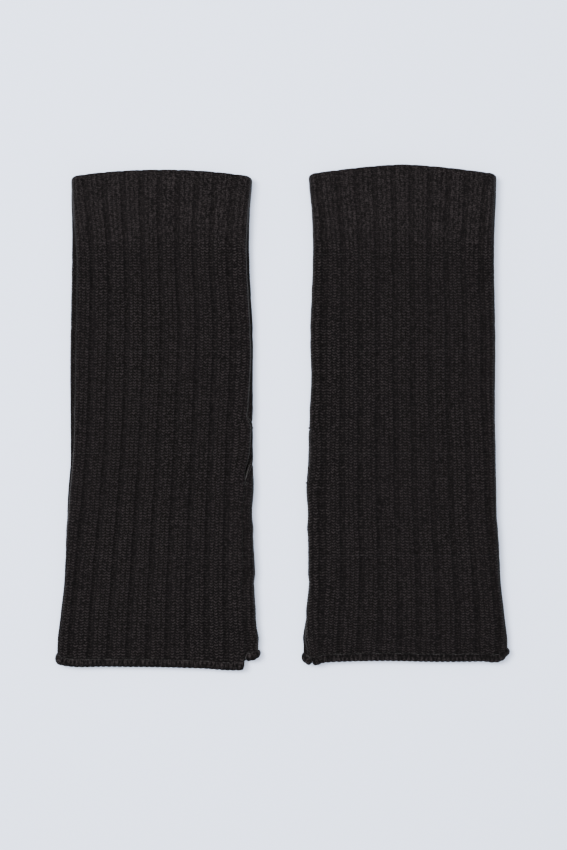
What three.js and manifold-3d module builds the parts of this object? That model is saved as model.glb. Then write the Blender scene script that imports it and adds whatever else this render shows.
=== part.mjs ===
// A pair of long ribbed-knit fingerless mitts, laid flat side by side.
// Millimetres. +Z is up, +Y runs from the wide hand opening to the elastic cuff,
// and X = 0 is the line between the two mitts. The thumb openings face that line.

import * as THREE from 'three';
import { mergeVertices } from 'three/addons/utils/BufferGeometryUtils.js';
import Module from 'manifold-3d';

const wasm = await Module();
wasm.setup();

// Lengths along a mitt.
const HEM_Y = -150;           // edge of the hand opening
const HAND_FOLD_Y = -94;      // line where the hand end folds back over the knuckles
const CUFF_Y = 107;           // line where the elastic cuff starts
const CUFF_TOP_Y = 145;       // corners of the turned top edge
const CUFF_BOW = 5;           // how far the middle of that edge stands above its corners
const THUMB_Y = -22.5;        // middle of the thumb opening
const THUMB_LENGTH = 31;
const THUMB_GAP = 6.4;        // how far the thumb opening gapes, front ply to back ply

// The two side edges, as distances from the pair's centre line, from hem to cuff top.
const EDGE_Y = [-150, -138, -120, -94, -49, 0, 50, 107, 150];
const THUMB_EDGE = [14.6, 14.0, 15.3, 16.8, 17.1, 17.3, 17.7, 19.4, 17.3];
const OUTER_EDGE = [134.6, 135.1, 133.0, 130.4, 128.1, 127.0, 127.0, 126.2, 127.1];

// Thicknesses.
const TUBE_HEIGHT = 11;       // two plies and the air between them
const TUBE_WALL = 2;
const HEM_HEIGHT = 11.4;
const HEM_WALL = 2.6;
const HEM_DEPTH = 3.6;        // the rope-like cast-off edge, along Y
const CUFF_HEIGHT = 12;
const CUFF_PLY = 1.4;
const CUFF_POCKET = 0.4;      // between the two plies of the turned-in cuff
const LINKING_WIDTH = 2.2;
const LINKING_THICKNESS = 0.6;
const SEAM_WIDTH = 3;
const SEAM_THICKNESS = 1.2;
const SEAM_INSET = 7;         // lower seam, on the front ply, in from the thumb edge
const SEAM_END = 1;           // the lower and upper seams stop this far from the opening
const TACK_LENGTH = 5;
const TACK_WIDTH = 2;
const TACK_THICKNESS = 1.4;
const GAP = 0.3;              // clearance between neighbouring pieces

const THUMB_CUT_REACH = 14;   // how far the cut for the thumb opening runs along X
const DRAWN_HALF_WIDTH = 20;  // cross-sections are drawn this wide, then moved out to the edges
const DRAWN_FLAT = 10;        // the middle stretch of a drawn section, which takes up the width
const WELD = 1e-4;

// Smoothness.
const STATION_STEP = 16;      // longest stretch along Y between two cross-sections
const ARC_SEGMENTS = 4;       // each half-round end gets twice as many
const FLAT_SEGMENTS = 6;      // across the top and the bottom of a tube

const YARN = 0x1d1c1c;
const CUFF_YARN = 0x201f1f;
const THREAD = 0x161515;

function knit(color) {
  return new THREE.MeshStandardMaterial({ color, roughness: 0.95, metalness: 0 });
}

// Distance of a side edge from the centre line, at a place along the mitt.
function edgeCurve(distances) {
  const track = new THREE.CubicInterpolant(EDGE_Y, distances, 1, new Float32Array(1));
  return (y) => track.evaluate(y)[0];
}

const thumbEdge = edgeCurve(THUMB_EDGE);
const outerEdge = edgeCurve(OUTER_EDGE);

// A long flat oval: straight top and bottom, half-round ends. It stands on Z = bottom.
function flatOval(path, halfWidth, height, bottom) {
  const radius = height / 2;
  const reach = halfWidth - radius;
  const middle = bottom + radius;
  path.moveTo(-reach, bottom);
  for (let i = 0; i <= FLAT_SEGMENTS; i += 1) {
    path.lineTo(DRAWN_FLAT * (2 * i / FLAT_SEGMENTS - 1), bottom);
  }
  path.absarc(reach, middle, radius, -Math.PI / 2, Math.PI / 2, false);
  for (let i = 0; i <= FLAT_SEGMENTS; i += 1) {
    path.lineTo(DRAWN_FLAT * (1 - 2 * i / FLAT_SEGMENTS), bottom + height);
  }
  path.absarc(-reach, middle, radius, Math.PI / 2, 1.5 * Math.PI, false);
  return path;
}

// Cross-section of a fabric tube laid flat, drawn narrow. place() moves its two round ends
// out to the edges of the mitt. It lies inside the tube's own outline by inset all round.
function ringSection(height, wall, inset = 0) {
  const halfWidth = DRAWN_HALF_WIDTH - inset;
  const outside = height - 2 * inset;
  const section = flatOval(new THREE.Shape(), halfWidth, outside, inset);
  section.holes.push(
    flatOval(new THREE.Path(), halfWidth - wall, outside - 2 * wall, inset + wall),
  );
  return section;
}

// A small bar's cross-section, its middle at a distance in from the thumb edge.
function barSection(side, inFromEdge, middleZ, width, thickness) {
  const middleX = -side * (DRAWN_HALF_WIDTH - inFromEdge);
  const section = new THREE.Shape();
  section.moveTo(middleX - width / 2, middleZ - thickness / 2);
  section.lineTo(middleX + width / 2, middleZ - thickness / 2);
  section.lineTo(middleX + width / 2, middleZ + thickness / 2);
  section.lineTo(middleX - width / 2, middleZ + thickness / 2);
  section.closePath();
  return section;
}

// Runs a cross-section from one Y to another.
function alongY(section, fromY, toY) {
  const depth = toY - fromY;
  const steps = Math.ceil(depth / STATION_STEP);
  const geometry = new THREE.ExtrudeGeometry(section, {
    depth, steps, curveSegments: ARC_SEGMENTS, bevelEnabled: false,
  });
  geometry.rotateX(Math.PI / 2);
  geometry.translate(0, toY, 0);
  return geometry;
}

// Moves the two ends of a drawn shape out to the side edges of a mitt and stretches what is
// between them. side is -1 for the left mitt and 1 for the right one.
function place(geometry, side) {
  const points = geometry.getAttribute('position');
  for (let i = 0; i < points.count; i += 1) {
    const x = points.getX(i);
    const y = points.getY(i);
    const middle = side * (outerEdge(y) + thumbEdge(y)) / 2;
    const halfWidth = (outerEdge(y) - thumbEdge(y)) / 2;
    const spread = THREE.MathUtils.clamp(x / DRAWN_FLAT, -1, 1);
    points.setX(i, middle + x + spread * (halfWidth - DRAWN_HALF_WIDTH));
  }
  return geometry;
}

// Bows the top edge of the cuff, most at the middle of the mitt and not at all at CUFF_Y.
function bow(geometry, side) {
  const points = geometry.getAttribute('position');
  for (let i = 0; i < points.count; i += 1) {
    const y = points.getY(i);
    const middle = side * (outerEdge(y) + thumbEdge(y)) / 2;
    const halfWidth = (outerEdge(y) - thumbEdge(y)) / 2;
    const across = (points.getX(i) - middle) / halfWidth;
    const along = Math.max(0, (y - CUFF_Y) / (CUFF_TOP_Y - CUFF_Y));
    points.setY(i, y + CUFF_BOW * along * (1 - across * across));
  }
  return geometry;
}

function toSolid(geometry) {
  const bare = geometry.clone();
  bare.deleteAttribute('normal');
  bare.deleteAttribute('uv');
  const welded = mergeVertices(bare, WELD);
  return new wasm.Manifold(new wasm.Mesh({
    numProp: 3,
    vertProperties: welded.getAttribute('position').array,
    triVerts: Uint32Array.from(welded.index.array),
  }));
}

function toGeometry(solid) {
  const { vertProperties, triVerts } = solid.getMesh();
  const geometry = new THREE.BufferGeometry();
  geometry.setAttribute('position', new THREE.BufferAttribute(vertProperties, 3));
  geometry.setIndex(new THREE.BufferAttribute(triVerts, 1));
  geometry.computeVertexNormals();
  return geometry;
}

// The slit in the thumb edge: an eye shape seen from the side, cut through one wall only.
function thumbCut(side) {
  const half = THUMB_LENGTH / 2;
  const eye = new THREE.Shape();
  eye.moveTo(-half, 0);
  eye.quadraticCurveTo(0, THUMB_GAP, half, 0);
  eye.quadraticCurveTo(0, -THUMB_GAP, -half, 0);
  const cutter = new THREE.ExtrudeGeometry(eye, {
    depth: THUMB_CUT_REACH, curveSegments: ARC_SEGMENTS, bevelEnabled: false,
  });
  cutter.translate(0, 0, -THUMB_CUT_REACH / 2);
  cutter.rotateX(Math.PI / 2);
  cutter.rotateZ(Math.PI / 2);
  cutter.translate(side * thumbEdge(THUMB_Y), THUMB_Y, TUBE_HEIGHT / 2);
  return toSolid(cutter);
}

function tube(side) {
  const section = ringSection(TUBE_HEIGHT, TUBE_WALL);
  const whole = toSolid(place(alongY(section, HAND_FOLD_Y + GAP, CUFF_Y - GAP), side));
  return toGeometry(whole.subtract(thumbCut(side)));
}

function handEnd(side) {
  const section = ringSection(TUBE_HEIGHT, TUBE_WALL);
  return place(alongY(section, HEM_Y + HEM_DEPTH + GAP, HAND_FOLD_Y - GAP), side);
}

function hemBand(side) {
  return place(alongY(ringSection(HEM_HEIGHT, HEM_WALL), HEM_Y, HEM_Y + HEM_DEPTH), side);
}

// The cuff is one band turned in on itself: two plies that meet in the fold at the top.
function cuff(side) {
  const bothPlies = 2 * CUFF_PLY + CUFF_POCKET;
  const band = alongY(ringSection(CUFF_HEIGHT, bothPlies), CUFF_Y + GAP, CUFF_TOP_Y);
  const pocket = alongY(
    ringSection(CUFF_HEIGHT, CUFF_POCKET, CUFF_PLY), CUFF_Y - GAP, CUFF_TOP_Y - CUFF_PLY,
  );
  const [outside, between] = [band, pocket].map(
    (geometry) => toSolid(bow(place(geometry, side), side)),
  );
  return toGeometry(outside.subtract(between));
}

function cuffLinking(side) {
  const section = ringSection(TUBE_HEIGHT, LINKING_THICKNESS, TUBE_WALL + GAP);
  const topY = CUFF_Y - 2 * GAP;
  return place(alongY(section, topY - LINKING_WIDTH, topY), side);
}

// The seam from the cuff to the thumb opening lies inside, along the very edge.
function upperSeam(side) {
  const inFromEdge = TUBE_WALL + 3 * GAP + SEAM_THICKNESS / 2;
  const section = barSection(side, inFromEdge, TUBE_HEIGHT / 2, SEAM_THICKNESS, SEAM_WIDTH);
  const topY = CUFF_Y - LINKING_WIDTH - 3 * GAP;
  return place(alongY(section, THUMB_Y + THUMB_LENGTH / 2 + SEAM_END, topY), side);
}

// Below the opening it runs on the front ply, a little in from the edge.
function lowerSeam(side, fromY, toY) {
  const middleZ = TUBE_HEIGHT - TUBE_WALL - GAP - SEAM_THICKNESS / 2;
  const section = barSection(side, SEAM_INSET, middleZ, SEAM_WIDTH, SEAM_THICKNESS);
  return place(alongY(section, fromY, toY), side);
}

// Back stitches across one end of the thumb opening, on the outside of the edge.
function tack(side, end) {
  const inFromEdge = -GAP - TACK_THICKNESS / 2;
  const section = barSection(side, inFromEdge, TUBE_HEIGHT / 2, TACK_THICKNESS, TACK_LENGTH);
  const middleY = THUMB_Y + end * (THUMB_LENGTH / 2 + TACK_WIDTH / 2);
  return place(alongY(section, middleY - TACK_WIDTH / 2, middleY + TACK_WIDTH / 2), side);
}

function addMitt(pair, name, side) {
  const thumbBottomY = THUMB_Y - THUMB_LENGTH / 2 - SEAM_END;
  const pieces = {
    tube: [tube(side), YARN],
    hand_end: [handEnd(side), YARN],
    hem_band: [hemBand(side), YARN],
    cuff: [cuff(side), CUFF_YARN],
    cuff_linking: [cuffLinking(side), THREAD],
    seam_upper: [upperSeam(side), THREAD],
    seam_middle: [lowerSeam(side, HAND_FOLD_Y + GAP, thumbBottomY), THREAD],
    seam_hand: [lowerSeam(side, HEM_Y + HEM_DEPTH + GAP, HAND_FOLD_Y - GAP), THREAD],
    tack_upper: [tack(side, 1), THREAD],
    tack_lower: [tack(side, -1), THREAD],
  };
  for (const [piece, [geometry, color]] of Object.entries(pieces)) {
    const mesh = new THREE.Mesh(geometry, knit(color));
    mesh.name = `${name}_${piece}`;
    pair.add(mesh);
  }
}

const pair = new THREE.Group();
addMitt(pair, 'left', -1);
addMitt(pair, 'right', 1);

export default pair;
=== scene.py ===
"""A pair of long rib-knit fingerless mitts, laid flat: knitted fabric, edges, seams and stage."""

import math

import bpy
import numpy as np
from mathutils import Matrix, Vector


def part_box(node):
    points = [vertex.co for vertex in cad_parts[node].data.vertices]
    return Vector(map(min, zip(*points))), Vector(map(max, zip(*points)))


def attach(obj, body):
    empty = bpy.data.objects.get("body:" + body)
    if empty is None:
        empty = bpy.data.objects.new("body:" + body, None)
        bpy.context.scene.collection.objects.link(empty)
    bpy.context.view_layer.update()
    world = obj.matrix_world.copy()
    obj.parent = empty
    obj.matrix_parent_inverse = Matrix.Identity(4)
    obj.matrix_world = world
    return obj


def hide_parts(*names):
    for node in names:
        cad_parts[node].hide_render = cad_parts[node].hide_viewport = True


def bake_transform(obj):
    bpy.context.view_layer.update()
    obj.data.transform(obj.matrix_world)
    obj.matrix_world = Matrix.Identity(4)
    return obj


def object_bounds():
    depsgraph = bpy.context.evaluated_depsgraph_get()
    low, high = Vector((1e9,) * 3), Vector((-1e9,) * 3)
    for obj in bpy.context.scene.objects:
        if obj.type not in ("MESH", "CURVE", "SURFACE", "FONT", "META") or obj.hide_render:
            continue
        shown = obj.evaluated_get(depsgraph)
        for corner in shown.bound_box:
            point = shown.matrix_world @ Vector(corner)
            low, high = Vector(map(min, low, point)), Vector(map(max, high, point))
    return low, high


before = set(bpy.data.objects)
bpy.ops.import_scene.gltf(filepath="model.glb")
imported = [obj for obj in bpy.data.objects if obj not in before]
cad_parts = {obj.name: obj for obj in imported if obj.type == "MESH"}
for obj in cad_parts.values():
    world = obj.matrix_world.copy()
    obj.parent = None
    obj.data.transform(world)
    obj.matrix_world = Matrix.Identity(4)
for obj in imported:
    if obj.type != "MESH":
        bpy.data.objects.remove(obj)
CAD_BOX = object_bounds()

bl_info = {
    "name": "Rib-knit mitts",
    "version": (1, 0, 0),
    "blender": (4, 5, 0),
    "location": "View3D > Sidebar > Mitts",
    "description": "Knits a pair of long fingerless mitts around their frame",
    "category": "Mesh",
}

MM = 0.001
SIDES = {"left": -1.0, "right": 1.0}

# How the knit is built up. Lengths in this script are in mm, and settings are in metres.
RIB_WALES = 4                 # three knit wales and one purl wale
RIBS_ROUND = 21
WALES_ROUND = RIB_WALES * RIBS_ROUND
WALE_WIDTH = 2.64             # width of one wale in the middle of the tube
SELVEDGE = 0.25               # in ribs: the one wale at each side of the panel
SELVEDGE_GAP = 0.03           # by which each side of the panel keeps off the seam's line
FRONT_END = 9.4               # in ribs from the seam, where the front ply turns under
ROW_SHIFTS = ((0.16, 2.4), (0.1, 5.3))    # courses, and radians to a wale: rows lie uneven
INNER_CUFF_COURSE = 120       # added to the courses of the turned-in ply, to knit it tight

# How finely it is modelled: points to a wale or course, rows over the cuff's fold, and
# sides of a cord.
WALE_SAMPLES = 6
COURSE_SAMPLES = 4
CUFF_COURSE_SAMPLES = 3
TURN_ROWS = 8
HEM_SAMPLES = 8
LINKING_SAMPLES = 5
CORD_SIDES = 16

# The parts of its relief.
CROWN = 0.22                  # how far a rib's sides lie below its middle
SEAM_DIP = 0.25               # depth of the dip beside the seam
HEM_GROOVE = 0.9              # depth of the groove above the cast-off edge
INNER_RIDGE = 0.6             # how far the inner face stands in behind a purl wale

# The cords.
HEM_BREADTH = 1.4             # how many times wider than thick the cast-off edge lies
HEM_PROUD = 0.35              # how far it stands out of the fabric
HEM_LEAD = 2.2                # wales to one turn of its strands
SEAM_CHAIN = 1.7              # length of one stitch of the linked seam
SEAM_BEHIND = 0.9             # from the fabric's inner face to the middle of the seam
LINKING_RADIUS = 0.9
LINKING_BEHIND = 1.0          # from the tube's inner face to the middle of the chain
LINKING_BELOW = 1.4           # from the cuff's start down to the chain
TACK_REACH = 2.6              # half a tack's length
TACK_STITCH = 1.5             # length of one turn of its thread

# The stage. A lamp has its place, its size in metres and its watts.
LAMPS = {"key_softbox": ((-1.25, 0.6, 2.5), 1.0, 128.0),
         "fill_softbox": ((-0.1, 0.15, 1.5), 1.0, 34.0)}
CAMERA_PLACE = (0.0008, -0.0042, 1.212)   # in metres, from the middle of the pair


# --- Shapes that everything shares ---

def track(stations):
    """A smooth curve through (place, value) pairs, as a function of place."""
    place, value = np.array(stations, float).T
    slope = np.gradient(value, place)

    def value_at(where):
        where = np.clip(where, place[0], place[-1])
        i = np.clip(np.searchsorted(place, where, side="right") - 1, 0, len(place) - 2)
        span = place[i + 1] - place[i]
        f = (where - place[i]) / span
        f2, f3 = f * f, f * f * f
        return ((2 * f3 - 3 * f2 + 1) * value[i] + (f3 - 2 * f2 + f) * span * slope[i]
                + (3 * f2 - 2 * f3) * value[i + 1] + (f3 - f2) * span * slope[i + 1])

    return value_at


def smooth(value, low, high):
    """0 below low, 1 above high, and an easy curve between."""
    f = np.clip((value - low) / (high - low), 0.0, 1.0)
    return f * f * (3 - 2 * f)


def soft_noise(x, y, seed):
    """Smooth noise from -1 to 1 with one feature to a unit, the same on every run."""
    grid = np.random.default_rng(seed).uniform(-1, 1, (64, 64))
    x0, y0 = np.floor(x).astype(int), np.floor(y).astype(int)
    fx, fy = x - x0, y - y0
    fx, fy = fx * fx * (3 - 2 * fx), fy * fy * (3 - 2 * fy)
    a, b = grid[x0 % 64, y0 % 64], grid[(x0 + 1) % 64, y0 % 64]
    c, d = grid[x0 % 64, (y0 + 1) % 64], grid[(x0 + 1) % 64, (y0 + 1) % 64]
    return (a * (1 - fx) + b * fx) * (1 - fy) + (c * (1 - fx) + d * fx) * fy


def stitch_noise(wale, course, seed):
    """One value from -1 to 1 for each stitch."""
    grid = np.random.default_rng(seed).uniform(-1, 1, (97, 211))
    return grid[np.floor(wale).astype(int) % 97, np.floor(course).astype(int) % 211]


# --- The way each mitt lies ---

# All in mm. thumb and outer: (Y, how much farther from the centre line that side edge lies
# than the frame's). rib_middle: (Y, distance of middle_rib from the centre line). rib_pitch:
# (Y, width of a rib). first_valley: rib number of the first purl wale. seam_in: (Y, distance
# of the seam from the thumb edge). hem: (rib, Y of the last course). lips: the four Y
# between which the thumb opening parts, lies open and closes. top: Y of the top edge's
# corners, height of its bow and the power of the bow's curve.
LAID = {
    "left": {
        "thumb": [(-150, -0.5), (-121, 0.4), (-94, -0.8), (-49, 0.2), (0, 0.0), (50, -0.2),
                  (107, 0.4), (150, -0.4)],
        "outer": [(-150, 0.9), (-94, 0.7), (-49, 1.3), (-25, 0.0), (0, 0.6), (50, 0.4),
                  (107, 0.2), (150, 0.1)],
        "rib_middle": [(-150, 76.4), (-121, 75.6), (-91, 74.4), (-55, 72.4), (-19, 70.5),
                       (17, 68.9), (53, 67.9), (104, 69.5), (150, 69.2)],
        "rib_pitch": [(-150, 11.8), (-127, 11.55), (-91, 11.1), (-55, 10.75), (-19, 10.5),
                      (53, 10.55), (104, 10.26), (128, 10.8), (150, 11.4)],
        "middle_rib": 4.5,
        "first_valley": -0.125,
        "seam_in": [(-150, 8.6), (-109, 8.2), (-73, 6.8), (-45, 5.8), (-19, 4.8), (0, 3.4),
                    (17, 1.8), (71, 1.3), (104, 1.3), (130, 0.6), (150, 0.2)],
        "hem": [(-0.5, -151.6), (0.6, -152.1), (2, -150.9), (3.5, -150.2), (7, -149.6),
                (9, -149.2), (9.6, -147.6), (10.1, -144.2), (11, -144.5), (19.4, -145.2),
                (20.1, -143.2), (20.6, -145.2), (21.5, -145.8)],
        "lips": (-40.0, -16.0, -6.0, 2.0),
        "top": (144.9, 4.4, 2.2),
    },
    "right": {
        "thumb": [(-150, -1.6), (-121, -1.4), (-94, -1.6), (-67, -2.7), (-40, -2.4), (-22, -1.7),
                  (-4, -1.6), (23, -0.5), (50, -1.1), (107, -1.2), (150, -2.4)],
        "outer": [(-150, 1.1), (-94, 0.9), (-49, 1.1), (23, 1.4), (107, 1.7), (150, 2.1)],
        "rib_middle": [(-150, 75.6), (-127, 76.1), (-91, 75.8), (-55, 74.2), (-19, 73.6),
                       (17, 73.1), (53, 73.0), (104, 72.5), (150, 71.8)],
        "rib_pitch": [(-150, 11.9), (-127, 11.75), (-91, 11.2), (-55, 10.9), (-19, 10.8),
                      (17, 10.5), (53, 10.5), (104, 10.3), (128, 10.8), (150, 11.3)],
        "middle_rib": 5.25,
        "first_valley": 0.75,
        "seam_in": [(-150, 5.7), (-136, 3.0), (-120, 0.6), (-100, 0.0), (150, 0.0)],
        "hem": [(-0.5, -149.8), (0.1, -149.2), (0.8, -147.2), (2, -146.2), (4, -145.7),
                (7, -146.4), (9, -146.0), (9.9, -145.6), (10.2, -142.6), (11, -143.4),
                (19, -144.6), (20.1, -143.4), (20.6, -147.0), (21.2, -149.8), (21.5, -149.8)],
        "lips": (-42.0, -34.0, -10.0, -2.0),
        "top": (146.5, 5.9, 1.5),
    },
}


class Mitt:
    """Where the knitted fabric of one mitt lies, as a function of rib and place along it."""

    def __init__(self, name, settings):
        self.name = name
        self.side = SIDES[name]
        self.settings = settings
        laid = LAID[name]
        self.hem_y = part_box(f"{name}_hem_band")[0].y / MM
        self.cuff_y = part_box(f"{name}_cuff")[0].y / MM
        self.fold_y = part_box(f"{name}_tube")[0].y / MM
        self.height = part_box(f"{name}_tube")[1].z / MM
        self.cuff_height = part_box(f"{name}_cuff")[1].z / MM
        self.slit = (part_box(f"{name}_tack_lower")[1].y / MM,
                     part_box(f"{name}_tack_upper")[0].y / MM)
        thumb, outer = self.frame_edges()
        thumb_lay, outer_lay = track(laid["thumb"]), track(laid["outer"])
        self.thumb_edge = lambda y: thumb(y) + thumb_lay(y) + self.edge_waves(y, 1)
        self.outer_edge = lambda y: outer(y) + outer_lay(y) + 0.5 * self.edge_waves(y, 2)
        self.rib_middle = track(laid["rib_middle"])
        self.rib_pitch = track(laid["rib_pitch"])
        self.middle_rib = laid["middle_rib"]
        self.first_valley = laid["first_valley"]
        self.seam_in = track(laid["seam_in"])
        self.hem = track(laid["hem"])
        self.lips = laid["lips"]
        self.top_corner, self.top_bow, self.top_power = laid["top"]

    def frame_edges(self):
        """The two side edges of the frame's walls, from their full cross-sections."""
        rows = {}
        for piece in ("hem_band", "hand_end", "tube"):
            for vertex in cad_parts[f"{self.name}_{piece}"].data.vertices:
                rows.setdefault(round(vertex.co.y, 5), []).append(self.side * vertex.co.x)
        cuff_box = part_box(f"{self.name}_cuff")
        edges = []
        for farthest in (min, max):
            edge = []
            for y in sorted(rows):
                by_slit = self.slit[0] - 4 < y / MM < self.slit[1] + 4
                apart = not edge or y / MM - edge[-1][0] > 6
                if len(rows[y]) > 20 and apart and not by_slit:
                    edge.append((y / MM, farthest(rows[y]) / MM))
            top = farthest(abs(cuff_box[0].x), abs(cuff_box[1].x))
            edges.append(track(edge + [(cuff_box[1].y / MM, top / MM)]))
        return edges

    def edge_waves(self, y, seed):
        """The small unevenness of a hand-straightened edge, more of it near the hand end."""
        amount = 0.25 + 0.35 * smooth(-y, 20, 60)
        slow = soft_noise(y / 19.0, y * 0 + 3 * seed, seed)
        quick = soft_noise(y / 5.5, y * 0 + 5 * seed, seed + 10)
        return amount * (slow + 0.6 * quick)

    def ply_height(self, y):
        """Thickness of the laid tube: a little more at the cuff, less at the hem."""
        cuff = smooth(y, self.cuff_y - 6, self.cuff_y + 8)
        hem = smooth(-y, 110, 148)
        return self.height - 0.4 - 2.2 * hem + cuff * (self.cuff_height - self.height)

    def oval(self, t, y):
        """Place and outward normal at arc length t round the flat oval at y, all in mm.
        t = 0 is where the thumb edge's round ends and the flat front ply starts."""
        thumb, outer = self.thumb_edge(y), self.outer_edge(y)
        height = self.ply_height(y)
        r = height / 2
        flat = outer - thumb - 2 * r
        round_length = math.pi * r
        t = np.mod(t, 2 * flat + 2 * round_length)
        over = np.clip((t - flat) / r, 0, math.pi)
        under = np.clip((t - 2 * flat - round_length) / r, 0, math.pi)
        # Front ply, round of the outer edge, back ply, and last the round of the thumb edge.
        parts = [t < flat, t < flat + round_length, t < 2 * flat + round_length]
        away = np.select(
            parts,
            [thumb + r + t, outer - r + r * np.sin(over), outer - r - (t - flat - round_length)],
            thumb + r - r * np.sin(under))
        z = np.select(parts, [r + r + 0 * t, r + r * np.cos(over), 0 * t], r - r * np.cos(under))
        normal_x = np.select(parts, [0 * t, np.sin(over), 0 * t], -np.sin(under))
        normal_z = np.select(parts, [1 + 0 * t, np.cos(over), -1 + 0 * t], -np.cos(under))
        return away, z, normal_x, normal_z

    def seam_place(self, y):
        """Arc length of the closed seam: a distance in from the thumb edge, on the front."""
        inward, r = self.seam_in(y), self.ply_height(y) / 2
        on_round = -r * np.arcsin(np.clip(1 - inward / r, -1, 1))
        return np.where(inward >= r, inward - r, on_round)

    def opened(self, y):
        """0 where the seam is closed, 1 where its two lips lie open along the side edge."""
        start, full, over, end = self.lips
        return smooth(y, start, full) * (1 - smooth(y, over, end))

    def join_place(self, y):
        """Arc length of the line where the panel's two sides meet."""
        seam, side = self.seam_place(y), -math.pi / 4 * self.ply_height(y)
        return seam + self.opened(y) * (side - seam)

    def round_place(self, rib, y):
        """Arc length of a rib's line, and how far it is turned in at the seam (0 to 1)."""
        r = self.ply_height(y) / 2
        thumb = self.thumb_edge(y)
        girth = 2 * (self.outer_edge(y) - thumb - 2 * r) + 2 * math.pi * r
        pitch = self.rib_pitch(y)
        opened = self.opened(y)
        slit_middle = (self.slit[0] + self.slit[1]) / 2
        slit_half = (self.slit[1] - self.slit[0]) / 2
        gape = self.settings.thumb_gape / MM / 2
        gape = gape * np.clip(1 - ((y - slit_middle) / slit_half) ** 2, 0, 1)
        seam = self.seam_place(y)
        lip = SELVEDGE * pitch
        side = -math.pi / 2 * r
        front_seam = seam + opened * (side + gape + lip - seam)
        front_seam = front_seam + (1 - opened) * gape * (self.slit[0] < y)
        back_seam = seam + girth + opened * (side - gape - lip - seam)
        back_seam = back_seam - (1 - opened) * gape * (self.slit[0] < y)
        middle = self.rib_middle(y) - thumb - r

        def on_front(number):
            return middle + (number - self.middle_rib) * pitch

        # The first rib and the back ply take up what the even ribs of the front leave.
        near, far = on_front(1.0), on_front(FRONT_END)
        place = np.where(rib < 1.0, front_seam + rib * (near - front_seam), on_front(rib))
        back = (rib - FRONT_END) / (RIBS_ROUND - FRONT_END)
        place = np.where(rib > FRONT_END, far + back * (back_seam - far), place)
        before, after = np.clip(-rib, 0, 1), np.clip(rib - RIBS_ROUND, 0, 1)
        front_side = front_seam - before * pitch * opened + SELVEDGE_GAP
        back_side = back_seam + after * pitch * opened - SELVEDGE_GAP
        place = np.where(rib < 0, front_side, place)
        place = np.where(rib > RIBS_ROUND, back_side, place)
        turned = np.maximum(before, after) / SELVEDGE * (1 - opened)
        return place, turned

    def along(self, rib, y):
        """Y of a fabric row that would lie at y if the hem were straight. The hem's
        unevenness dies away up the tube."""
        pull = self.hem(rib) - self.hem_y
        return y + pull * np.exp(-(y - self.hem_y) / 20.0)

    def point(self, rib, y, depth, lift=0.0):
        """Points of the fabric: depth below its outer face, lift past its top edge, in mm."""
        place, turned = self.round_place(rib, y)
        depth = depth + turned * self.settings.fabric_thickness / MM
        return self.surface(place, self.along(rib, y), depth, lift)

    def surface(self, place, y, depth, lift=0.0):
        """Points at arc length place round the mitt, in metres in the row frame."""
        away, z, normal_x, normal_z = self.oval(place, y)
        thumb, outer = self.thumb_edge(y), self.outer_edge(y)
        # The relief is shallower round the side edges, where the fabric is stretched.
        depth = depth - 0.6 * normal_x ** 2 * np.clip(depth, 0, 1.5)
        away = away - normal_x * depth
        z = z - normal_z * depth
        across = np.clip((away - thumb) / (outer - thumb) * 2 - 1, -1, 1)
        # The front ply sinks between its edges, in slight waves.
        sag = self.settings.middle_sag / MM * (1 - across ** 4)
        wave = soft_noise(away / 31.0 + 7 * self.side, y / 43.0, 5) * 0.45
        wave = wave + soft_noise(away / 12.0, y / 17.0 + 9 * self.side, 6) * 0.16
        z = z - np.clip(z / self.height, 0, 1) * (sag - wave * (1 - across ** 6))
        # The top edge bows up in its middle and falls off at its corners.
        bow = self.top_bow * (1 - np.abs(across) ** self.top_power)
        bow = bow - 1.3 * np.clip((np.abs(across) - 0.93) / 0.07, 0, 1) ** 2
        y = y + bow * smooth(y, self.cuff_y, self.top_corner) + lift
        return np.stack([self.side * away * MM, y * MM, z * MM], axis=-1)


# --- The knit's relief ---

def wale_place(mitt, rib):
    """Wales counted round from the first purl wale: whole numbers are wale middles."""
    return RIB_WALES * (rib - mitt.first_valley)


def row_shift(wale):
    """The part of a course by which each wale's stitches lie above or below the row."""
    return sum(amount * np.sin(np.round(wale) * step) for amount, step in ROW_SHIFTS)


def stitch_place(mitt, rib, course):
    """Wale and course at each point, with the slow drift of stitches off their rows."""
    wale = wale_place(mitt, rib)
    drift = 0.07 * soft_noise(wale / 3.0, course / 4.0, 21)
    return wale + drift, course + 0.22 * soft_noise(wale / 6.0, course / 9.0, 22)


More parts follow.
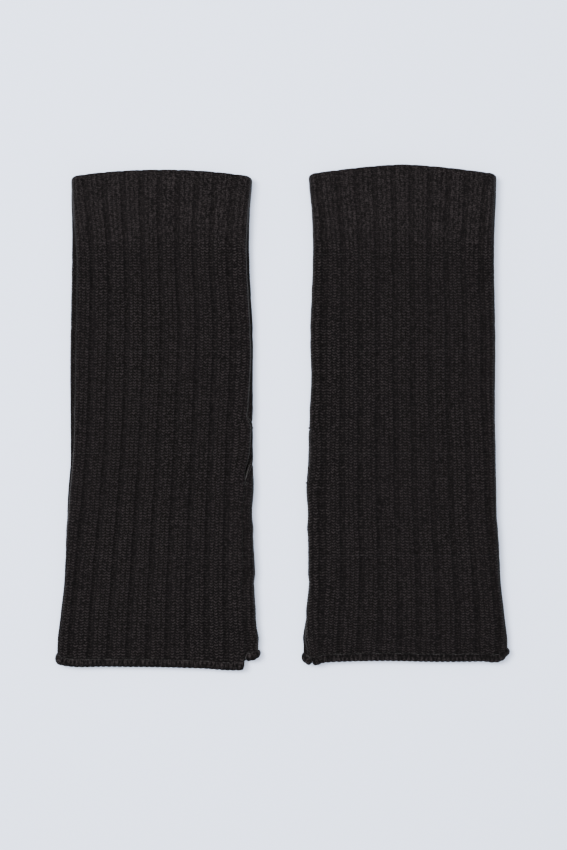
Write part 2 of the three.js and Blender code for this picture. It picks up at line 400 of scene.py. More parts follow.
def knit_relief(settings, wale, course, tight):
    """Depth of the stitches below the fabric's outer face, in mm. tight is 0 for the plain
    knit and 1 for the drawn-in cuff, where the courses close up into smooth wales."""
    course = course + row_shift(wale)
    # Across a rib: the purl wale and the valley it lies in, and the rib's round crown.
    in_rib = np.mod(wale, RIB_WALES)
    from_purl = np.minimum(np.abs(in_rib), np.abs(in_rib - RIB_WALES))
    purl = 1 - smooth(from_purl, 0.30, 0.55)
    well = 0.5 + 0.5 * np.cos(math.pi * np.clip(from_purl / (0.75 - 0.15 * tight), 0, 1))
    crown = 0.5 - 0.5 * np.cos(2 * math.pi * in_rib / RIB_WALES)
    # Across a knit wale: two slanting legs with a notch between them.
    across = 2 * np.abs(wale - np.round(wale))
    notch = (0.35 - 0.25 * tight) * np.exp(-(across / 0.25) ** 2)
    legs = 0.2 + 0.8 * np.cos(math.pi / 2 * across) - notch
    strand = 0.5 + 0.5 * np.cos(2 * math.pi * (course - settings.leg_slant * across))
    strand = 1 - (1 - strand) * 0.9 * (1 - 0.85 * tight)
    uneven = 1 + 0.25 * stitch_noise(wale + 0.5, course, 23)
    knit = (1 - legs * strand) * uneven
    # In a purl wale: one bump to a course, half a course off the legs.
    bump = 0.5 + 0.5 * np.cos(2 * math.pi * (course + 0.5)) * (1 - tight)
    relief = settings.stitch_relief / MM * (1 - 0.3 * tight)
    depth = relief * ((1 - purl) * knit + purl * (1 - 0.7 * bump))
    depth = depth + settings.rib_depth / MM * (1 - 0.5 * tight) * well
    return depth + CROWN * (1 - crown) * (1 - 0.5 * tight)


def seam_dip(rib):
    """Extra depth beside the seam, where the two side edges of the panel turn in."""
    from_seam = np.minimum(np.abs(rib), np.abs(RIBS_ROUND - rib))
    return SEAM_DIP * np.exp(-(from_seam / 0.10) ** 2)


def hem_groove(mitt, y):
    """Extra depth just above the cast-off edge, where it draws the last course down."""
    from_groove = y - mitt.hem_y - 2 * HEM_BREADTH * mitt.settings.hem_radius / MM
    return HEM_GROOVE * np.exp(-(from_groove / 0.7) ** 2)


def inner_ridge(mitt, rib):
    """0 behind the knit wales and 1 behind a purl wale, on the fabric's inner face."""
    return (0.5 + 0.5 * np.cos(2 * math.pi * wale_place(mitt, rib) / RIB_WALES)) ** 3


# --- Meshes ---

def zip_sides(one, other):
    """Triangles between two rows of vertices that start and end side by side."""
    faces, i, j = [], 0, 0
    while i < len(one) - 1 or j < len(other) - 1:
        next_one = (i + 1) / (len(one) - 1) if i < len(one) - 1 else 2
        next_other = (j + 1) / (len(other) - 1) if j < len(other) - 1 else 2
        if next_one <= next_other:
            faces.append((one[i], one[i + 1], other[j]))
            i += 1
        else:
            faces.append((one[i], other[j + 1], other[j]))
            j += 1
    return faces


def grid_quads(rows, columns, start=0):
    """Quads of a grid of vertices, as an array with one quad to a row."""
    r, c = np.meshgrid(np.arange(rows - 1), np.arange(columns - 1), indexing="ij")
    first = start + (r * columns + c).ravel()
    return np.stack([first, first + 1, first + columns + 1, first + columns], axis=1)


def add_mesh(name, points, quads, triangles, uv, flip, end_quads=0):
    """A smooth object from numpy arrays. uv holds (wale, course) for each vertex, and the
    last end_quads quads and all triangles are flat end faces."""
    triangles = np.array(triangles, int).reshape(-1, 3)
    if flip:
        quads, triangles = quads[:, ::-1], triangles[:, ::-1]
    corners = np.concatenate([quads.ravel(), triangles.ravel()]).astype(np.int32)
    starts = np.concatenate([np.arange(len(quads)) * 4,
                             len(quads) * 4 + np.arange(len(triangles)) * 3]).astype(np.int32)
    mesh = bpy.data.meshes.new(name)
    mesh.vertices.add(len(points))
    mesh.vertices.foreach_set("co", points.astype(np.float32).ravel())
    mesh.loops.add(len(corners))
    mesh.loops.foreach_set("vertex_index", corners)
    mesh.polygons.add(len(starts))
    mesh.polygons.foreach_set("loop_start", starts)
    mesh.update(calc_edges=True)
    mesh.validate()
    layer = mesh.uv_layers.new(name="knit")
    layer.data.foreach_set("uv", uv[corners].astype(np.float32).ravel())
    mesh.polygons.foreach_set("use_smooth", np.arange(len(starts)) < len(quads) - end_quads)
    obj = bpy.data.objects.new(name, mesh)
    bpy.context.scene.collection.objects.link(obj)
    return obj


def shell(name, outside, inside, outside_uv, inside_uv, flip):
    """A closed piece of fabric from its outer and inner faces, grids with equal columns."""
    rows, columns = outside.shape[:2]
    inside_rows = inside.shape[0]
    base = rows * columns
    points = np.concatenate([outside.reshape(-1, 3), inside.reshape(-1, 3)])
    uv = np.concatenate([outside_uv.reshape(-1, 2), inside_uv.reshape(-1, 2)])
    outer_quads = grid_quads(rows, columns)
    inner_quads = grid_quads(inside_rows, columns, base)[:, ::-1]
    c = np.arange(columns - 1)
    low = np.stack([base + c, base + c + 1, c + 1, c], axis=1)
    last, inner_last = (rows - 1) * columns, base + (inside_rows - 1) * columns
    high = np.stack([last + c, last + c + 1, inner_last + c + 1, inner_last + c], axis=1)
    start_side = zip_sides([r * columns for r in range(rows)],
                           [base + r * columns for r in range(inside_rows)])
    end_side = zip_sides([base + r * columns + columns - 1 for r in range(inside_rows)],
                         [r * columns + columns - 1 for r in range(rows)])
    quads = np.concatenate([outer_quads, inner_quads, low, high])
    return add_mesh(name, points, quads, start_side + end_side, uv, flip, len(low) + len(high))


def rib_columns():
    """Ribs round the mitt, from the panel's one selvedge to the other, at stitch samples."""
    wales = WALES_ROUND + 2 * RIB_WALES * SELVEDGE
    count = int(wales * WALE_SAMPLES) + 1
    return np.linspace(-SELVEDGE, RIBS_ROUND + SELVEDGE, count)


def course_y(mitt, course):
    """Y of a course of the plain knit, counted from the hem."""
    bottom = mitt.hem_y + HEM_BREADTH * mitt.settings.hem_radius / MM
    return bottom + course * mitt.settings.course_height / MM


def fabric_section(mitt, name, first_course, last_course):
    """One stretch of the knitted tube, both its faces, between two courses."""
    ribs = rib_columns()
    fine = np.arange(first_course * COURSE_SAMPLES, last_course * COURSE_SAMPLES + 1)
    rib, course = np.meshgrid(ribs, fine / COURSE_SAMPLES)
    y = course_y(mitt, course)
    wale, course = stitch_place(mitt, rib, course)
    depth = knit_relief(mitt.settings, wale, course, 0 * course) + seam_dip(rib)
    outside = mitt.point(rib, y, depth + hem_groove(mitt, y))
    inner_rib, inner_course = np.meshgrid(ribs, np.arange(first_course, last_course + 1))
    thickness = mitt.settings.fabric_thickness / MM
    inner_depth = thickness + INNER_RIDGE * inner_ridge(mitt, inner_rib)
    inside = mitt.point(inner_rib, course_y(mitt, inner_course), inner_depth)
    return shell(name, outside, inside, np.stack([wale, course], axis=-1),
                 np.stack([wale_place(mitt, inner_rib) + 2, inner_course], axis=-1),
                 mitt.side < 0)


def cuff_section(mitt, name, first_course):
    """The turned-in cuff and the last courses of the tube under it, as one closed piece."""
    settings = mitt.settings
    start_y = course_y(mitt, first_course)
    fold_radius = settings.cuff_thickness / MM / 2
    fold_y = mitt.top_corner - fold_radius
    plain = np.arange(start_y, mitt.cuff_y, settings.course_height / MM / COURSE_SAMPLES)
    cuff_step = settings.cuff_course_height / MM / CUFF_COURSE_SAMPLES
    drawn = np.arange(mitt.cuff_y, fold_y, cuff_step)
    turn = np.linspace(0, math.pi, TURN_ROWS + 1)[1:]
    row_y = np.concatenate([plain, drawn, np.full(len(turn), fold_y)])
    row_turn = np.concatenate([np.zeros(len(plain) + len(drawn)), turn])
    past = np.clip(row_y - mitt.cuff_y, 0, None) + row_turn * fold_radius
    row_course = first_course + (np.minimum(row_y, mitt.cuff_y) - start_y) / (
        settings.course_height / MM) + past / (settings.cuff_course_height / MM)
    rib, y = np.meshgrid(rib_columns(), row_y)
    turned, course = row_turn[:, None] + 0 * rib, row_course[:, None] + 0 * rib
    tight = smooth(y, mitt.cuff_y - 9, mitt.cuff_y + 7)
    wale, course = stitch_place(mitt, rib, course)
    relief = knit_relief(settings, wale, course, tight) + seam_dip(rib)
    # The relief flattens toward the top fold.
    relief = 0.25 + (relief - 0.25) * (1 - 0.75 * smooth(y, fold_y - 9, fold_y))
    depth = fold_radius - (fold_radius - relief) * np.cos(turned)
    outside = mitt.point(rib, y, depth, (fold_radius - relief) * np.sin(turned))
    inner_y = np.concatenate([
        np.arange(start_y, mitt.cuff_y - 1, settings.course_height / MM), [mitt.cuff_y - 0.3],
        np.arange(mitt.cuff_y + 0.3, fold_y - 1, settings.cuff_course_height / MM)])
    inner_rib, inner_row = np.meshgrid(rib_columns(), inner_y)
    in_cuff = inner_row > mitt.cuff_y
    ridge = inner_ridge(mitt, inner_rib)
    inner_depth = np.where(in_cuff, 2 * fold_radius - 0.5 * ridge,
                           settings.fabric_thickness / MM + INNER_RIDGE * ridge)
    inside = mitt.point(inner_rib, inner_row, inner_depth)
    inner_course = inner_row / 1.2 + INNER_CUFF_COURSE * in_cuff
    inner_uv = np.stack([wale_place(mitt, inner_rib), inner_course], axis=-1)
    return shell(name, outside, inside, np.stack([wale, course], axis=-1), inner_uv,
                 mitt.side < 0)


def cord_along(name, centres, outwards, radius, relief, stitch, flip, breadth=1.0):
    """A closed cord through a row of centres. outwards is the direction that angle 0 round
    it faces at each centre, relief(around, along) the depth of its strands, stitch the
    length of one wale of its pattern, and breadth how many times wider than thick it is.
    It lies on the floor and not through it."""
    ahead = np.gradient(centres, axis=0)
    ahead /= np.linalg.norm(ahead, axis=1)[:, None]
    out = outwards - (outwards * ahead).sum(1)[:, None] * ahead
    out /= np.linalg.norm(out, axis=1)[:, None]
    aside = np.cross(ahead, out)
    reached = np.concatenate([[0], np.linalg.norm(np.diff(centres, axis=0), axis=1).cumsum()])
    turn = np.linspace(0, 2 * math.pi, CORD_SIDES, endpoint=False)
    along, around = np.meshgrid(reached / MM, turn, indexing="ij")
    r = radius - relief(around, along) * MM
    ends = np.minimum(reached, reached[-1] - reached)[:, None]
    r = r * np.sqrt(np.clip(1 - (1 - np.clip(ends / radius, 0, 1)) ** 2, 0.02, 1))
    points = (centres[:, None, :] + r[..., None] * (np.cos(around)[..., None] * out[:, None, :]
              + breadth * np.sin(around)[..., None] * aside[:, None, :]))
    points[..., 2] = np.maximum(points[..., 2], 0.0)
    rows = len(centres)
    quads = []
    for side in range(CORD_SIDES):
        one = np.arange(rows - 1) * CORD_SIDES + side
        other = one - side + (side + 1) % CORD_SIDES
        quads.append(np.stack([one, other, other + CORD_SIDES, one + CORD_SIDES], axis=1))
    last = (rows - 1) * CORD_SIDES
    caps = [(0, side + 2, side + 1) for side in range(CORD_SIDES - 2)]
    caps += [(last, last + side + 1, last + side + 2) for side in range(CORD_SIDES - 2)]
    uv = np.stack([along / stitch, around / math.pi], axis=-1).reshape(-1, 2)
    return add_mesh(name, points.reshape(-1, 3), np.concatenate(quads), caps, uv, flip)


def strands(lead, count, depth):
    """Relief of a cord twisted from strands: lead is the length of one full turn in mm."""
    def relief(around, along):
        wave = np.abs(np.sin(0.5 * (count * around - 2 * math.pi * count * along / lead)))
        return depth * (1 - wave ** 0.7)
    return relief


def chain(pitch, depth):
    """Relief of a linking chain: a row of V stitches with a groove down the middle."""
    def relief(around, along):
        fold = np.abs(np.mod(around / math.pi + 1, 2) - 1)
        wave = 0.5 + 0.5 * np.cos(2 * math.pi * (along / pitch - 0.8 * fold))
        return depth * (1 - wave * np.sin(math.pi * np.clip(fold * 1.4, 0, 1)) ** 0.6)
    return relief


def hem_cord(mitt, name):
    """The rope-like cast-off edge that closes the hand opening's last course."""
    settings = mitt.settings
    rib = np.linspace(0.02, RIBS_ROUND - 0.02, WALES_ROUND * HEM_SAMPLES)
    y = mitt.hem_y + HEM_BREADTH * settings.hem_radius / MM + 0 * rib
    centres = mitt.point(rib, y, settings.hem_radius / MM - HEM_PROUD)
    outwards = mitt.point(rib, y, 0.0) - centres
    lead = HEM_LEAD * mitt.rib_pitch(mitt.hem_y) / RIB_WALES
    return cord_along(name, centres, outwards, settings.hem_radius,
                      strands(lead, 2, 0.3), WALE_WIDTH, mitt.side < 0, HEM_BREADTH)


def seam_cord(mitt, name, low, high):
    """The linked seam's ridge, inside the tube along the line where the sides meet."""
    y = np.arange(low, high, 0.35)
    depth = mitt.settings.fabric_thickness / MM + SEAM_BEHIND
    centres = mitt.surface(mitt.join_place(y), y, depth)
    outwards = mitt.surface(mitt.join_place(y), y, 0.0) - centres
    return cord_along(name, centres, outwards, mitt.settings.seam_radius,
                      chain(SEAM_CHAIN, 0.4), WALE_WIDTH, False)


def linking_cord(mitt, name):
    """The chain that links the cuff's turned-in ply to the tube, all round inside."""
    rib = np.linspace(0.1, RIBS_ROUND - 0.1, WALES_ROUND * LINKING_SAMPLES)
    y = mitt.cuff_y - LINKING_BELOW + 0 * rib
    centres = mitt.point(rib, y, mitt.settings.fabric_thickness / MM + LINKING_BEHIND)
    outwards = mitt.point(rib, y, 0.0) - centres
    return cord_along(name, centres, outwards, LINKING_RADIUS * MM,
                      chain(WALE_WIDTH, 0.35), WALE_WIDTH, mitt.side < 0)


def tack_bar(mitt, name, middle_y):
    """A few close back stitches across one end of the thumb opening."""
    reach = np.linspace(-TACK_REACH, TACK_REACH, 27)
    place = mitt.join_place(middle_y) + reach
    y = middle_y + 0 * reach
    # The tack lies in the dip of the seam, and rises toward its two ends.
    centres = mitt.surface(place, y, 0.8 - 0.3 * (reach / TACK_REACH) ** 2)
    outwards = mitt.surface(place, y, -1.0) - centres
    return cord_along(name, centres, outwards, mitt.settings.tack_radius,
                      strands(TACK_STITCH, 1, 0.3), 1.2, mitt.side < 0)


# --- Materials ---

class Wiring:
    """Short calls for wiring a node tree."""

    def __init__(self, tree):
        self.tree = tree

    def node(self, kind, values=None, **settings):
        """A new node with these settings, and values on its own inputs by label."""
        made = self.tree.nodes.new(kind)
        for key, value in settings.items():
            setattr(made, key, value)
        return self.preset(made, values or {})

    def preset(self, made, values):
        """Puts values on a node's own inputs."""
        for label, value in values.items():
            made.inputs[label].default_value = value
        return made

    def link(self, source, target):
        """Joins an output to an input."""
        self.tree.links.new(source, target)

    def math(self, operation, *inputs):
        """The output of a new math node on numbers and other outputs."""
        made = self.node("ShaderNodeMath", operation=operation)
        for socket, value in zip(made.inputs, inputs):
            if isinstance(value, (int, float)):
                socket.default_value = value
            else:
                self.link(value, socket)
        return made.outputs[0]


def new_group(name, inputs, outputs):
    """A new shader group's wiring, and its input and output nodes."""
    tree = bpy.data.node_groups.new(name, "ShaderNodeTree")
    for label, default in inputs:
        kind = "NodeSocketVector" if label == "Vector" else "NodeSocketFloat"
        socket = tree.interface.new_socket(label, in_out="INPUT", socket_type=kind)
        if default is not None:
            socket.default_value = default
    for label in outputs:
        tree.interface.new_socket(label, in_out="OUTPUT", socket_type="NodeSocketFloat")
    return Wiring(tree), tree.nodes.new("NodeGroupInput"), tree.nodes.new("NodeGroupOutput")


def stitch_group():
    """Height of the V stitches from a place in wales and courses, 0 in the grooves, and a
    number about 1 for each stitch. Tight is 1 where the courses close up into smooth wales."""
    w, given, out = new_group(
        "stitch_height", [("Wale", 0.0), ("Course", 0.0), ("Slant", 0.5), ("Tight", 0.0)],
        ["Height", "Chance"])
    wale, course, slant, tight = given.outputs[0:4]

    def knitted(plain, drawn):
        """A value for the plain knit that becomes another in the drawn-in cuff."""
        return w.math("MULTIPLY_ADD", tight, drawn - plain, plain)

    nearest = w.math("ROUND", wale)
    for amount, step in ROW_SHIFTS:
        shift = w.math("SINE", w.math("MULTIPLY", nearest, step))
        course = w.math("MULTIPLY_ADD", shift, amount, course)
    # Each wale is a hump with a notch down its middle, and a purl wale's hump is lower. The
    # height also sets the yarn's base colour, so the notches and the purl wales get painted
    # shade.
    across = w.math("ABSOLUTE", w.math("MULTIPLY", w.math("SUBTRACT", wale, nearest), 2.0))
    hump = w.math("COSINE", w.math("MULTIPLY", across, math.pi / 2))
    hump = w.math("MULTIPLY_ADD", w.math("MAXIMUM", hump, 0.0), 0.9, 0.1)
    centre = w.math("DIVIDE", across, 0.25)
    centre = w.math("EXPONENT", w.math("MULTIPLY", w.math("MULTIPLY", centre, centre), -1.0))
    notch = w.math("MULTIPLY", centre, knitted(0.2, 0.1))
    rest = w.math("MULTIPLY_ADD", hump, -0.25, 0.25)
    hump = w.math("ADD", hump, w.math("MULTIPLY", tight, rest))
    purl = w.math("COSINE", w.math("MULTIPLY", wale, 2 * math.pi / RIB_WALES))
    purl = w.math("POWER", w.math("MAXIMUM", purl, 0.0), 2.5)
    hump = w.math("MULTIPLY", hump, w.math("MULTIPLY_ADD", purl, -0.42, 1.0))
    legs = w.math("SUBTRACT", hump, notch)
    # The courses cut the humps into slanting legs, and the base colour gets painted shade in the
    # gaps between them.
    phase = w.math("SUBTRACT", course, w.math("MULTIPLY", across, slant))
    wave = w.math("COSINE", w.math("MULTIPLY", phase, 2 * math.pi))
    gap = w.math("MULTIPLY_ADD", wave, -0.5, 0.5)
    strand = w.math("SUBTRACT", 1.0, w.math("MULTIPLY", gap, knitted(1.05, 0.65)))
    w.link(w.math("MAXIMUM", w.math("MULTIPLY", legs, strand), 0.0), out.inputs[0])
    # Chance is even over each leg of a stitch, and it drifts in streaks up the wales.
    cell = w.node("ShaderNodeCombineXYZ")
    w.link(w.math("FLOOR", w.math("MULTIPLY", wale, 2.0)), cell.inputs[0])
    w.link(w.math("FLOOR", w.math("ADD", phase, 0.5)), cell.inputs[1])
    each = w.node("ShaderNodeTexWhiteNoise", noise_dimensions="2D")
    w.link(cell.outputs[0], each.inputs["Vector"])
    line = w.node("ShaderNodeCombineXYZ")
    w.link(w.math("MULTIPLY", wale, 2.2), line.inputs[0])
    w.link(w.math("MULTIPLY", course, 0.3), line.inputs[1])
    column = w.node("ShaderNodeTexNoise", {"Scale": 1.0}, noise_dimensions="2D")
    w.link(line.outputs[0], column.inputs["Vector"])
    chance = w.math("SUBTRACT", each.outputs["Value"], 0.5)
    chance = w.math("MULTIPLY", chance, knitted(0.9, 0.7))
    streak = w.math("SUBTRACT", column.outputs["Fac"], 0.5)
    streak = w.math("MULTIPLY", streak, knitted(0.1, 0.7))
    w.link(w.math("ADD", w.math("ADD", chance, streak), 1.0), out.inputs[1])


def fibre_group():
    """Fine yarn detail: the twist of the plies and the loose fibres over them."""
    w, given, out = new_group(
        "yarn_fibre", [("Vector", None), ("Wale", 0.0), ("Course", 0.0), ("Twist", 3.0)],
        ["Height", "Tone"])
    place, wale, course, twist = given.outputs[0:4]
    fine = w.node("ShaderNodeTexNoise", {"Scale": 1900.0, "Detail": 3.0})
    broad = w.node("ShaderNodeTexNoise", {"Scale": 1250.0, "Detail": 2.0})
    for noise in (fine, broad):
        w.link(place, noise.inputs["Vector"])
    lean = w.math("ADD", w.math("MULTIPLY", wale, 2.0), course)
    wave = w.math("SINE", w.math("MULTIPLY", w.math("MULTIPLY", lean, twist), 2 * math.pi))
    plies = w.math("MULTIPLY_ADD", wave, 0.16, 0.5)
    height = w.math("ADD", plies, w.math("MULTIPLY", fine.outputs["Fac"], 0.6))
    w.link(height, out.inputs[0])
    tone = w.math("ADD", w.math("MULTIPLY", fine.outputs["Fac"], 4.0),
                  w.math("MULTIPLY_ADD", broad.outputs["Fac"], 5.0, -4.0))
    w.link(w.math("MAXIMUM", tone, 0.05), out.inputs[1])


def yarn_material(name, groove, crest_highlight, stitch_depth, twist, slant, tight_from=1e6):
    """Matt yarn whose base colour holds painted shade and a painted highlight: darker in the
    grooves and lighter where the fibres catch light.
    stitch_depth is in metres, and tight_from is the course where the cuff draws in."""
    material = bpy.data.materials.new(name)
    material.use_nodes = True
    w = Wiring(material.node_tree)
    shader = material.node_tree.nodes["Principled BSDF"]
    place = w.node("ShaderNodeUVMap", uv_map="knit")
    split = w.node("ShaderNodeSeparateXYZ")
    w.link(place.outputs["UV"], split.inputs[0])
    coordinates = w.node("ShaderNodeTexCoord")
    stitches, fibres = w.node("ShaderNodeGroup"), w.node("ShaderNodeGroup")
    stitches.node_tree = bpy.data.node_groups["stitch_height"]
    fibres.node_tree = bpy.data.node_groups["yarn_fibre"]
    w.preset(stitches, {"Slant": slant})
    w.preset(fibres, {"Twist": twist})
    w.link(coordinates.outputs["Object"], fibres.inputs["Vector"])
    tight = w.node("ShaderNodeMapRange", interpolation_type="SMOOTHSTEP")
    w.preset(tight, {"From Min": tight_from - 7, "From Max": tight_from + 6})
    w.link(split.outputs["Y"], tight.inputs["Value"])
    w.link(tight.outputs["Result"], stitches.inputs["Tight"])
    for group in (stitches, fibres):
        w.link(split.outputs["X"], group.inputs["Wale"])
        w.link(split.outputs["Y"], group.inputs["Course"])
    # Painted shade and highlight: the base colour runs from the groove colour to the crest
    # colour. The groove colour is painted shade in the stitches' grooves, notches and purl
    # valleys. The crest colour is a painted highlight where the stitches' tops catch the light.
    # Chance and the fibres' tone vary it at random.
    chance = w.math("MULTIPLY", stitches.outputs["Chance"],
                    w.math("MULTIPLY_ADD", tight.outputs["Result"], -0.3, 1.0))
    lit = w.math("MULTIPLY", stitches.outputs["Height"], chance)
    lit = w.math("MULTIPLY", lit, w.math("MULTIPLY", fibres.outputs["Tone"], 2.0))
    ramp = w.node("ShaderNodeMix", {"A": (*groove, 1), "B": (*crest_highlight, 1)}, data_type="RGBA")
    w.link(lit, ramp.inputs["Factor"])
    w.link(ramp.outputs["Result"], shader.inputs["Base Color"])
    rough = w.math("MULTIPLY_ADD", fibres.outputs["Tone"], 0.15, 0.80)
    w.link(rough, shader.inputs["Roughness"])
    shape = w.node("ShaderNodeBump", {"Strength": 0.8, "Distance": stitch_depth})
    w.link(stitches.outputs["Height"], shape.inputs["Height"])
    fuzz = w.node("ShaderNodeBump", {"Strength": 0.7, "Distance": 0.0001})
    w.link(fibres.outputs["Height"], fuzz.inputs["Height"])
    w.link(shape.outputs["Normal"], fuzz.inputs["Normal"])
    w.link(fuzz.outputs["Normal"], shader.inputs["Normal"])
    w.preset(shader, {"Specular IOR Level": 0.02, "Sheen Weight": 0.12,
                      "Sheen Roughness": 0.4, "Sheen Tint": (0.9, 0.87, 0.86, 1)})


def floor_material(color):
    """Pale matt board with a faint unevenness."""
    material = bpy.data.materials.new("pale_floor")
    material.use_nodes = True
    w = Wiring(material.node_tree)
    shader = material.node_tree.nodes["Principled BSDF"]
    coordinates = w.node("ShaderNodeTexCoord")
    noise = w.node("ShaderNodeTexNoise", {"Scale": 3.0})
    w.link(coordinates.outputs["Object"], noise.inputs["Vector"])
    mix = w.node("ShaderNodeMix", data_type="RGBA")
    w.preset(mix, {"A": (*[0.985 * c for c in color], 1), "B": (*color, 1)})
    w.link(noise.outputs["Fac"], mix.inputs["Factor"])
    w.link(mix.outputs["Result"], shader.inputs["Base Color"])
    w.preset(shader, {"Roughness": 0.9, "Specular IOR Level": 0.1})
    return material


# --- The add-on ---

def length(name, description, default):
    """A length setting, with its default in mm."""
    return bpy.props.FloatProperty(name=name, description=description, default=default * MM,
                                   precision=5, unit="LENGTH")


class MittSettings(bpy.types.PropertyGroup):
    """Sizes and colours of the knit."""

    course_height: length("Course height", "Height of one row of stitches in the tube", 1.704)
    cuff_course_height: length(
        "Cuff course height", "Height of one row in the drawn-in cuff", 1.2)
    fabric_thickness: length("Fabric thickness", "Thickness of one knitted ply", 2.0)
    cuff_thickness: length(
        "Cuff thickness", "Thickness of the cuff's two plies together", 3.2)
    rib_depth: length("Rib depth", "How far the purl wales lie below the ribs", 1.2)
    stitch_relief: length(
        "Stitch relief", "Depth of the grooves between the yarn's loops", 0.5)
    leg_slant: bpy.props.FloatProperty(
        name="Leg slant", description="How many courses a stitch's leg climbs", default=0.55)
    middle_sag: length(
        "Middle sag", "How far the front ply sinks between its edges", 1.6)
    thumb_gape: length(
        "Thumb gape", "Widest gap between the lips of the thumb opening", 3.2)
    hem_radius: length("Hem cord radius", "Half the thickness of the cast-off edge", 1.75)
    seam_radius: length("Seam ridge radius", "Half the thickness of the linked seam", 1.1)
    tack_radius: length("Tack radius", "Half the thickness of the back-stitched tacks", 0.6)
    # Painted light: the yarn colour is the yarn with a painted highlight where the stitches catch
    # the light, and the groove colour is painted shade down in the stitches.
    lit_yarn_color: bpy.props.FloatVectorProperty(
        name="Yarn", description="Colour of the yarn where it catches the light",
        default=(0.0152, 0.0126, 0.0129), subtype="COLOR", size=3)
    groove_shade_color: bpy.props.FloatVectorProperty(
        name="Grooves", description="Colour of the yarn down in the stitches",
        default=(0.0014, 0.0012, 0.0012), subtype="COLOR", size=3)
    floor_color: bpy.props.FloatVectorProperty(
        name="Floor", description="Colour of the board the pair lies on",
        default=(0.725, 0.795, 0.98), subtype="COLOR", size=3)


# Where the tube is divided into pieces, in courses from the hem. The first piece crosses
# the hand end's fold, and the cuff piece starts at the last number.
DIVISIONS = (0, 38, 74, 110, 144)


class MITTS_OT_materials(bpy.types.Operator):
    """Make the yarn's node groups and materials"""

    bl_idname = "mitts.materials"
    bl_label = "Yarn materials"

    def execute(self, context):
        settings = context.scene.mitts
        stitch_group()
        fibre_group()
        # Painted shade for the grooves and painted highlight for the crests.
        groove, crest_highlight = tuple(settings.groove_shade_color), tuple(settings.lit_yarn_color)
        slant = settings.leg_slant
        mitt = Mitt("left", settings)
        drawn_in = (mitt.cuff_y - course_y(mitt, 0)) * MM / settings.course_height
        yarn_material("knit_yarn", groove, crest_highlight, 0.0002, 3.0, slant)
        yarn_material("cuff_yarn", groove, crest_highlight, 0.0002, 2.0, slant, drawn_in)
        yarn_material("hem_yarn", groove, crest_highlight, 0.0001, 3.0, slant)
        yarn_material("linking_yarn", groove, crest_highlight, 0.00008, 3.0, slant)
        return {"FINISHED"}


def dress(obj, material, node):
    """Gives a piece its yarn, and hides the CAD part of the node it stands for."""
    obj.data.materials.append(bpy.data.materials[material])
    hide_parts(node)


def both_mitts(context):
    """The name and the lay of each mitt."""
    return [(name, Mitt(name, context.scene.mitts)) for name in SIDES]


class MITTS_OT_tubes(bpy.types.Operator):
    """Knit both tubes, from the hem to just under the cuff"""

    bl_idname = "mitts.tubes"
    bl_label = "Knitted tubes"

    def execute(self, context):
        for name, mitt in both_mitts(context):
            hand = fabric_section(mitt, f"{name}_knit_hand", DIVISIONS[0], DIVISIONS[1])
            dress(hand, "knit_yarn", f"{name}_hand_end")
            bend_over(hand)
            for number, (low, high) in enumerate(zip(DIVISIONS[1:], DIVISIONS[2:]), 1):
                part = fabric_section(mitt, f"{name}_knit_tube_{number}", low, high)
                dress(part, "knit_yarn", f"{name}_tube")
                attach(part, f"{name}_mitt")
        return {"FINISHED"}


def bend_over(obj):
    """Bakes a piece's transform into its mesh."""
    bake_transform(obj)


class MITTS_OT_cuffs(bpy.types.Operator):
    """Knit the turned-in cuffs and the chains that link them to the tubes"""

    bl_idname = "mitts.cuffs"
    bl_label = "Cuffs"

    def execute(self, context):
        for name, mitt in both_mitts(context):
            cuff = cuff_section(mitt, f"{name}_knit_cuff", DIVISIONS[-1])
            dress(cuff, "cuff_yarn", f"{name}_cuff")
            bend_over(cuff)
            chain_ring = linking_cord(mitt, f"{name}_linking_chain")
            dress(chain_ring, "linking_yarn", f"{name}_cuff_linking")
            bend_over(chain_ring)
        return {"FINISHED"}


class MITTS_OT_edges(bpy.types.Operator):
    """Make the cast-off hems, the linked seams and the tacks of the thumb openings"""

    bl_idname = "mitts.edges"
    bl_label = "Hems, seams and tacks"

    def execute(self, context):
        for name, mitt in both_mitts(context):
            hem = hem_cord(mitt, f"{name}_hem_cord")
            dress(hem, "hem_yarn", f"{name}_hem_band")
            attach(hem, f"{name}_hand_end")
            fold_y, slit = mitt.fold_y, mitt.slit
            for part, low, high in (("hand", mitt.hem_y + 4, fold_y),
                                    ("middle", fold_y, slit[0] - 1),
                                    ("upper", slit[1] + 1, mitt.cuff_y - 3)):
                seam = seam_cord(mitt, f"{name}_seam_ridge_{part}", low, high)
                dress(seam, "linking_yarn", f"{name}_seam_{part}")
                if part == "upper":
                    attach(seam, f"{name}_mitt")
                else:
                    bend_over(seam)
            for part, y in (("lower", slit[0] - 1), ("upper", slit[1] + 1)):
                tack = tack_bar(mitt, f"{name}_tack_bar_{part}", y)
                dress(tack, "linking_yarn", f"{name}_tack_{part}")
                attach(tack, f"{name}_mitt")
        return {"FINISHED"}


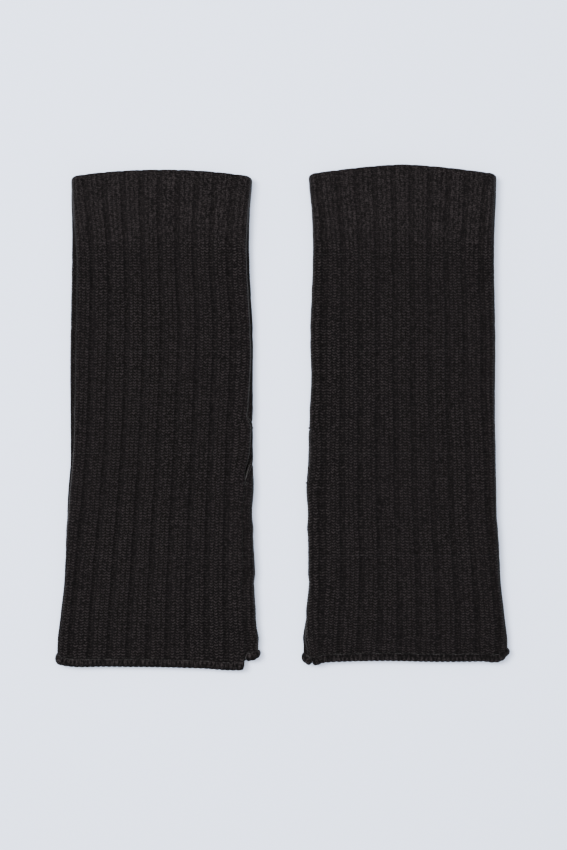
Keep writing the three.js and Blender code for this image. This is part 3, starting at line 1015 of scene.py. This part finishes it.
class MITTS_OT_stage(bpy.types.Operator):
    """Lay out the pale floor, the soft light and the camera"""

    bl_idname = "mitts.stage"
    bl_label = "Stage"

    def execute(self, context):
        scene = context.scene
        settings = scene.mitts
        bpy.ops.object.select_all(action="DESELECT")
        bpy.ops.mesh.primitive_plane_add(size=30.0, location=(0, 0, -0.0002))
        floor = context.active_object
        floor.name = "floor"
        floor.data.materials.append(floor_material(tuple(settings.floor_color)))

        world = bpy.data.worlds.new("soft_room")
        world.use_nodes = True
        background = world.node_tree.nodes["Background"]
        background.inputs["Color"].default_value = (0.90, 0.95, 1.0, 1)
        background.inputs["Strength"].default_value = 1.0
        scene.world = world
        for name, (place, size, power) in LAMPS.items():
            lamp(name, place, size, power)

        middle = (CAD_BOX[0] + CAD_BOX[1]) / 2
        view = bpy.data.cameras.new("camera")
        view.lens = 85
        view.clip_end = 10
        camera = bpy.data.objects.new("camera", view)
        camera.location = (middle.x + CAMERA_PLACE[0], middle.y + CAMERA_PLACE[1],
                           CAMERA_PLACE[2])
        scene.collection.objects.link(camera)
        scene.camera = camera
        return {"FINISHED"}


def lamp(name, place, size, power):
    """A square soft light that faces the middle of the pair."""
    light = bpy.data.lights.new(name, "AREA")
    light.size = size
    light.energy = power
    obj = bpy.data.objects.new(name, light)
    obj.location = place
    obj.rotation_euler = (Vector((0, 0, 0)) - Vector(place)).to_track_quat("-Z", "Y").to_euler()
    bpy.context.scene.collection.objects.link(obj)


class MITTS_PT_panel(bpy.types.Panel):
    """Lists the pair's sizes and the steps that make it"""

    bl_label = "Rib-knit mitts"
    bl_idname = "MITTS_PT_panel"
    bl_space_type = "VIEW_3D"
    bl_region_type = "UI"
    bl_category = "Mitts"

    def draw(self, context):
        settings = context.scene.mitts
        for name in settings.bl_rna.properties.keys():
            if name not in ("rna_type", "name"):
                self.layout.prop(settings, name)
        for operator in OPERATORS:
            self.layout.operator(operator.bl_idname)


OPERATORS = (MITTS_OT_materials, MITTS_OT_tubes, MITTS_OT_cuffs, MITTS_OT_edges, MITTS_OT_stage)
CLASSES = (MittSettings,) + OPERATORS + (MITTS_PT_panel,)


def register():
    """Registers the classes and the pair's settings."""
    for cls in CLASSES:
        bpy.utils.register_class(cls)
    bpy.types.Scene.mitts = bpy.props.PointerProperty(type=MittSettings)


def unregister():
    """Undoes register."""
    del bpy.types.Scene.mitts
    for cls in reversed(CLASSES):
        bpy.utils.unregister_class(cls)


def main():
    """Makes the pair and its stage."""
    register()
    bpy.ops.mitts.materials()
    bpy.ops.mitts.stage()
    bpy.ops.mitts.tubes()
    bpy.ops.mitts.cuffs()
    bpy.ops.mitts.edges()


if __name__ == "__main__":
    main()
